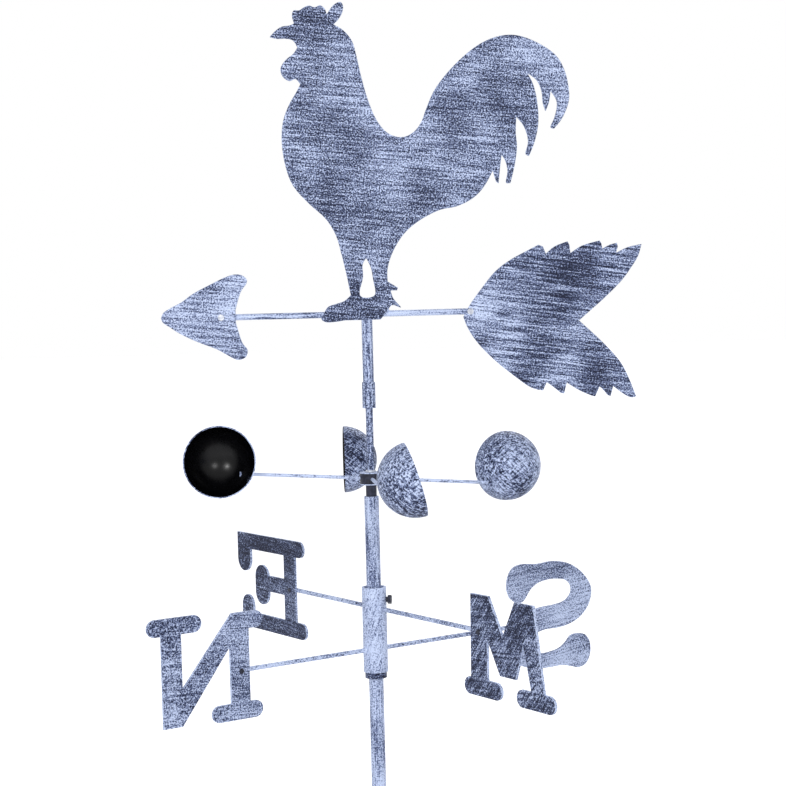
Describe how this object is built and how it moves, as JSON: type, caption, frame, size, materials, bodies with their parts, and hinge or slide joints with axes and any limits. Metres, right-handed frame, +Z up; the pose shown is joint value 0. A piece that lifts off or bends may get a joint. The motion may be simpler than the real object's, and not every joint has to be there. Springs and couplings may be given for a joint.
{
  "type": "weather vane",
  "caption": "Garden stake weather vane with a turning rooster and arrow, spinning wind cups and compass letters on two collars.",
  "frame": {"origin": "centre of the stake's spike where it enters the ground, on the mast's axis", "axes": "+Z up along the mast, -X the way the arrow points at rest, -Y towards the viewer of the rooster's left side"},
  "size_m": [0.5334, 0.4965, 1.159],
  "materials": {
    "brushed_silver": "black textured coat dry-brushed with silver blue",
    "cup_sheet": "spun sheet, dry-brushed silver outside, plain black inside",
    "black_paint": "black paint, satin",
    "bare_steel": "plain zinc-plated steel",
    "nylon": "plain turned nylon"
  },
  "bodies": {
    "mast": {"centre_spike": "black_paint", "side_prong_1": "black_paint", "side_prong_2": "black_paint", "step_bar": "black_paint", "stake_socket": "brushed_silver", "socket_screw": "black_paint", "lower_mast_tube": "brushed_silver", "mast_spigot": "bare_steel", "upper_mast_tube": "brushed_silver", "stop_ring": "black_paint", "mast_plug": "bare_steel", "spindle": "bare_steel", "hub_bush": "black_paint", "spindle_clip": "bare_steel"},
    "cups": {"cup_hub": "black_paint", "hub_washer_top": "brushed_silver", "hub_washer_bottom": "brushed_silver", "cup_arm_1": "brushed_silver", "cup_arm_2": "brushed_silver", "cup_arm_3": "brushed_silver", "cup_arm_4": "brushed_silver", "cup_1": "cup_sheet", "cup_2": "cup_sheet", "cup_3": "cup_sheet", "cup_4": "cup_sheet"},
    "vane": {"vane_sleeve": "brushed_silver", "sleeve_bush": "brushed_silver", "pivot_pad": "nylon", "rooster_plate": "brushed_silver", "arrow_rod": "brushed_silver", "arrowhead_plate": "brushed_silver", "arrowhead_rivet": "bare_steel", "tail_plate": "brushed_silver", "tail_screw": "bare_steel", "tail_nut": "bare_steel", "rod_weld": "brushed_silver"},
    "lower_compass": {"lower_collar": "brushed_silver", "lower_set_screw": "black_paint", "north_rod": "brushed_silver", "south_rod": "brushed_silver", "letter_n": "brushed_silver", "letter_s": "brushed_silver", "letter_screw_n": "black_paint", "letter_screw_s": "black_paint"},
    "upper_compass": {"upper_collar": "brushed_silver", "upper_set_screw": "black_paint", "east_rod": "brushed_silver", "west_rod": "brushed_silver", "letter_e": "brushed_silver", "letter_w": "brushed_silver", "letter_screw_e": "black_paint", "letter_screw_w": "black_paint"}
  },
  "joints": [
    {"name": "vane_turn", "type": "hinge", "parent": "mast", "child": "vane", "pos_m": [0, 0, 0.6], "axis": [0, 0, 1], "continuous": true},
    {"name": "cups_spin", "type": "hinge", "parent": "mast", "child": "cups", "pos_m": [0, 0, 0.474], "axis": [0, 0, 1], "continuous": true},
    {"name": "lower_compass_turn", "type": "hinge", "parent": "mast", "child": "lower_compass", "pos_m": [0, 0, 0.2825], "axis": [0, 0, 1], "continuous": true},
    {"name": "upper_compass_turn", "type": "hinge", "parent": "lower_compass", "child": "upper_compass", "pos_m": [0, 0, 0.3297], "axis": [0, 0, 1], "range_deg": [-75, 75]}
  ]
}
